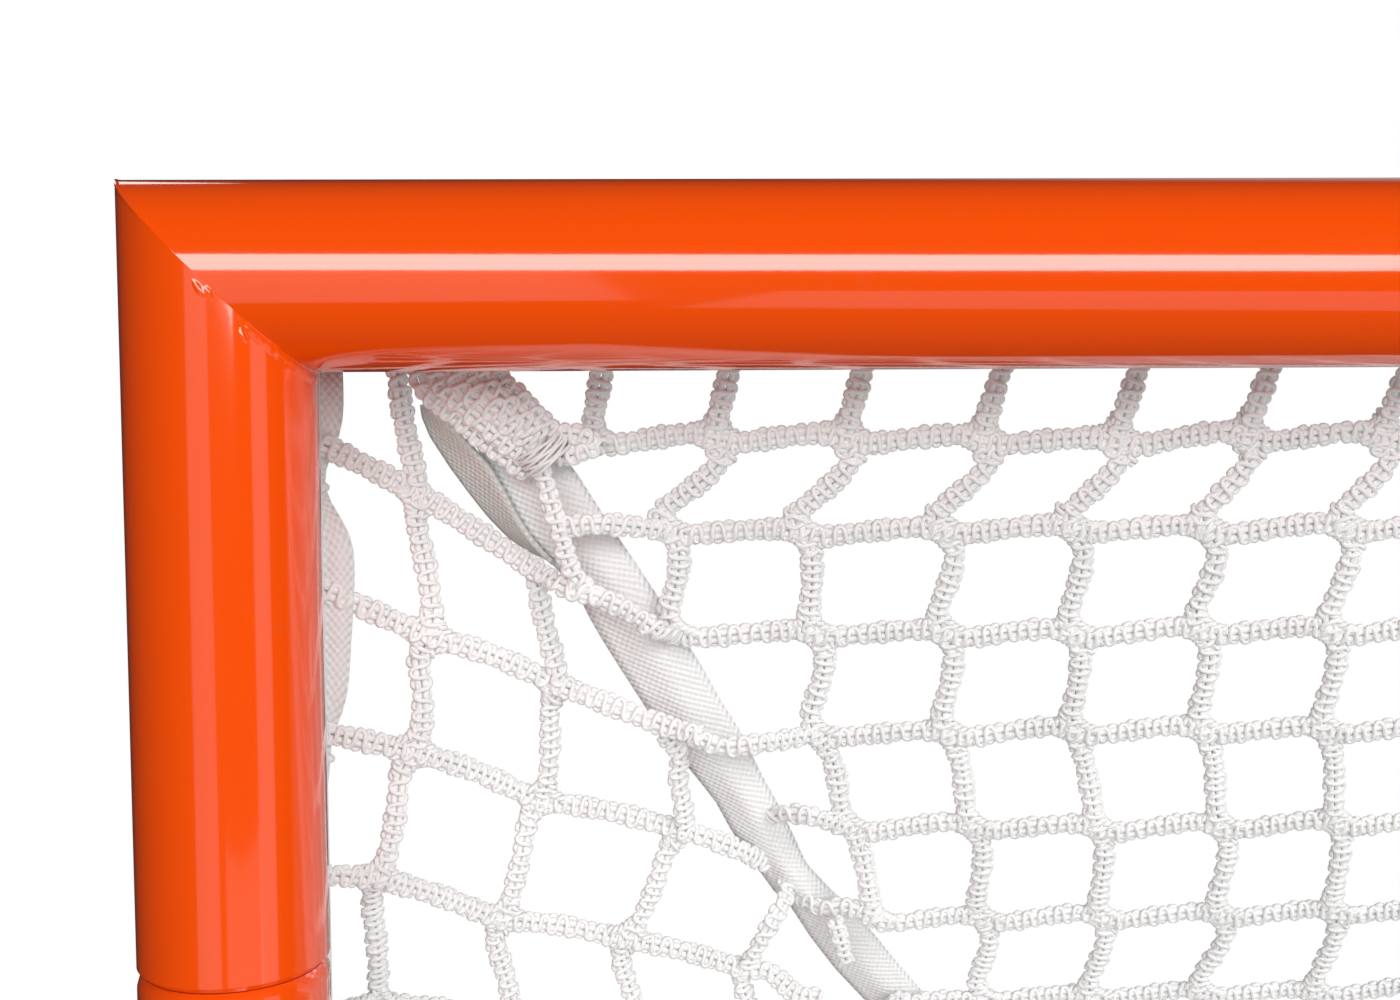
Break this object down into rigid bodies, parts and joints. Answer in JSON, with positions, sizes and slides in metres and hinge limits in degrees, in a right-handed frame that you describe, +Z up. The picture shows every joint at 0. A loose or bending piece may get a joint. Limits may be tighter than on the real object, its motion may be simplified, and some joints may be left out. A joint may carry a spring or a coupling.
{
  "type": "knock-down sports goal with net",
  "caption": "Square tube goal mouth on a V-shaped flat-bar ground frame, with a laced cord net that runs back to a low apex.",
  "frame": {"origin": "on the ground, midway between the posts and midway from the front of the feet to the tip of the ground frame", "axes": "+X to the right of somebody who faces the mouth, +Y from the goal line back to the apex, +Z up"},
  "size_m": [1.9372, 2.194, 1.8781],
  "materials": {
    "painted_frame": "glossy orange paint over steel tube, flat bar, rods and welds",
    "plated_steel": "zinc-plated screws, bolts and washers",
    "bare_steel": "bare drawn tube inside the slip joints",
    "webbing": "white woven polyester webbing",
    "lacing_cord": "white twisted lacing cord",
    "net_cord": "white knitted knotless net cord"
  },
  "bodies": {
    "ground_frame": {"left_post": "painted_frame", "right_post": "painted_frame", "left_ground_bar": "painted_frame", "right_ground_bar": "painted_frame", "left_foot_weld": "painted_frame", "right_foot_weld": "painted_frame", "apex_plate": "painted_frame", "left_post_rod": "painted_frame", "right_post_rod": "painted_frame", "post_rod_pins": "painted_frame", "left_ground_rod": "painted_frame", "right_ground_rod": "painted_frame", "ground_rod_pins": "painted_frame", "apex_bolts": "plated_steel", "apex_washers": "plated_steel", "left_spigot": "bare_steel", "right_spigot": "bare_steel", "left_spigot_weld": "bare_steel", "right_spigot_weld": "bare_steel", "left_post_webbing": "webbing", "right_post_webbing": "webbing", "left_ground_webbing": "webbing", "right_ground_webbing": "webbing", "left_seam_webbing": "webbing", "right_seam_webbing": "webbing", "left_post_ties": "lacing_cord", "right_post_ties": "lacing_cord", "left_ground_ties": "lacing_cord", "right_ground_ties": "lacing_cord", "net_top": "net_cord", "net_left": "net_cord", "net_right": "net_cord"},
    "top_frame": {"crossbar": "painted_frame", "left_corner_leg": "painted_frame", "right_corner_leg": "painted_frame", "left_corner_weld": "painted_frame", "right_corner_weld": "painted_frame", "left_lock_nut": "painted_frame", "right_lock_nut": "painted_frame", "left_lock_screw": "plated_steel", "right_lock_screw": "plated_steel", "crossbar_rod": "painted_frame", "crossbar_rod_pins": "painted_frame", "left_leg_rod": "painted_frame", "right_leg_rod": "painted_frame", "leg_rod_pins": "painted_frame", "crossbar_webbing": "webbing", "left_leg_webbing": "webbing", "right_leg_webbing": "webbing", "crossbar_ties": "lacing_cord", "leg_ties": "lacing_cord"}
  },
  "joints": [
    {"name": "top_frame_lift", "type": "slide", "parent": "ground_frame", "child": "top_frame", "axis": [0, 0, 1], "range_m": [0, 0.105]}
  ]
}
